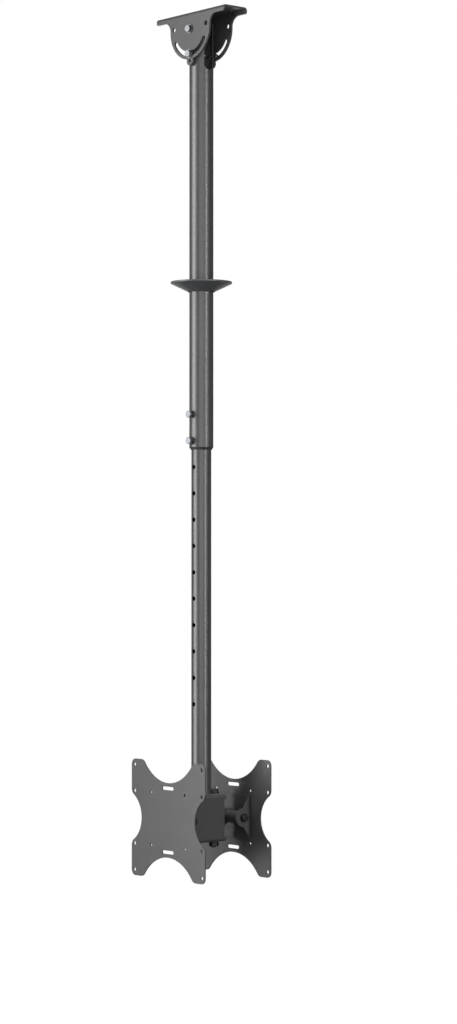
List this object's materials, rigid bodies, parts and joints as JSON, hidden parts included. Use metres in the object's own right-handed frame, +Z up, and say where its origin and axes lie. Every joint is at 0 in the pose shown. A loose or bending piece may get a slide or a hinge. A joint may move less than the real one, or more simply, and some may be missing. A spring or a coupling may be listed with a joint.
{
  "type": "tv ceiling mount",
  "caption": "Double-sided TV ceiling mount: folded bracket with arc slots, telescopic pole with a sliding cover dish, and back-to-back screen plates that swivel and tilt.",
  "frame": {"origin": "middle of the ceiling bracket's top face", "axes": "+Z up into the ceiling, X along the bracket and the plates' width, -Y the way the front plate faces"},
  "size_m": [0.218, 0.164, 1.643],
  "materials": {
    "powder_coat": "satin black powder coat",
    "zinc_plate": "bright zinc plate",
    "black_oxide": "black oxide",
    "black_plastic": "moulded black plastic",
    "black_rubber": "matt rubber"
  },
  "bodies": {
    "ceiling": {"ceiling_bracket": "powder_coat", "pivot_bolt": "zinc_plate", "pivot_nut": "zinc_plate", "pivot_washers": "zinc_plate", "pivot_spacers": "black_plastic"},
    "pole": {"outer_tube": "powder_coat", "lock_bolt": "zinc_plate", "lock_nut": "zinc_plate", "lock_washers": "zinc_plate", "lock_spacers": "black_plastic", "height_bosses": "powder_coat", "lower_guide_bush": "black_plastic"},
    "canopy": {"canopy_dish": "black_plastic", "canopy_grommet": "black_rubber"},
    "bolt_upper": {"height_bolt_upper": "zinc_plate"},
    "bolt_lower": {"height_bolt_lower": "zinc_plate"},
    "slider": {"inner_tube": "powder_coat", "upper_guide_bush": "black_plastic", "hub": "powder_coat", "front_swivel_bolt": "black_oxide", "front_swivel_nut": "black_oxide", "front_swivel_washers": "black_oxide", "front_thrust_washers": "black_plastic", "back_swivel_bolt": "black_oxide", "back_swivel_nut": "black_oxide", "back_swivel_washers": "black_oxide", "back_thrust_washers": "black_plastic"},
    "front_swivel": {"front_knuckle": "powder_coat"},
    "front_head": {"front_tilt_bracket": "powder_coat", "front_tilt_bolt": "black_oxide", "front_tilt_nut": "black_oxide", "front_tilt_washers": "black_oxide", "front_tilt_spacers": "black_plastic", "front_screen_plate": "powder_coat"},
    "back_swivel": {"back_knuckle": "powder_coat"},
    "back_head": {"back_tilt_bracket": "powder_coat", "back_tilt_bolt": "black_oxide", "back_tilt_nut": "black_oxide", "back_tilt_washers": "black_oxide", "back_tilt_spacers": "black_plastic", "back_screen_plate": "powder_coat"}
  },
  "joints": [
    {"name": "ceiling_tilt", "type": "hinge", "parent": "ceiling", "child": "pole", "pos_m": [0, 0, -0.032], "axis": [0, 1, 0], "range_deg": [-60, 60]},
    {"name": "canopy_slide", "type": "slide", "parent": "pole", "child": "canopy", "axis": [0, 0, 1], "range_m": [-0.21, 0.4]},
    {"name": "height_slide", "type": "slide", "parent": "pole", "child": "slider", "axis": [0, 0, 1], "range_m": [0, 0.5]},
    {"name": "bolt_upper_turn_in", "type": "slide", "parent": "pole", "child": "bolt_upper", "axis": [0, 1, 0], "range_m": [0, 0.0035]},
    {"name": "bolt_lower_turn_in", "type": "slide", "parent": "pole", "child": "bolt_lower", "axis": [0, 1, 0], "range_m": [0, 0.0035]},
    {"name": "front_swivel", "type": "hinge", "parent": "slider", "child": "front_swivel", "pos_m": [0, -0.031, -1.532], "axis": [0, 0, 1], "range_deg": [-20, 20]},
    {"name": "front_tilt", "type": "hinge", "parent": "front_swivel", "child": "front_head", "pos_m": [0, -0.0625, -1.532], "axis": [1, 0, 0], "range_deg": [-15, 15]},
    {"name": "back_swivel", "type": "hinge", "parent": "slider", "child": "back_swivel", "pos_m": [0, 0.031, -1.532], "axis": [0, 0, 1], "range_deg": [-20, 20]},
    {"name": "back_tilt", "type": "hinge", "parent": "back_swivel", "child": "back_head", "pos_m": [0, 0.0625, -1.532], "axis": [1, 0, 0], "range_deg": [-15, 15]}
  ]
}
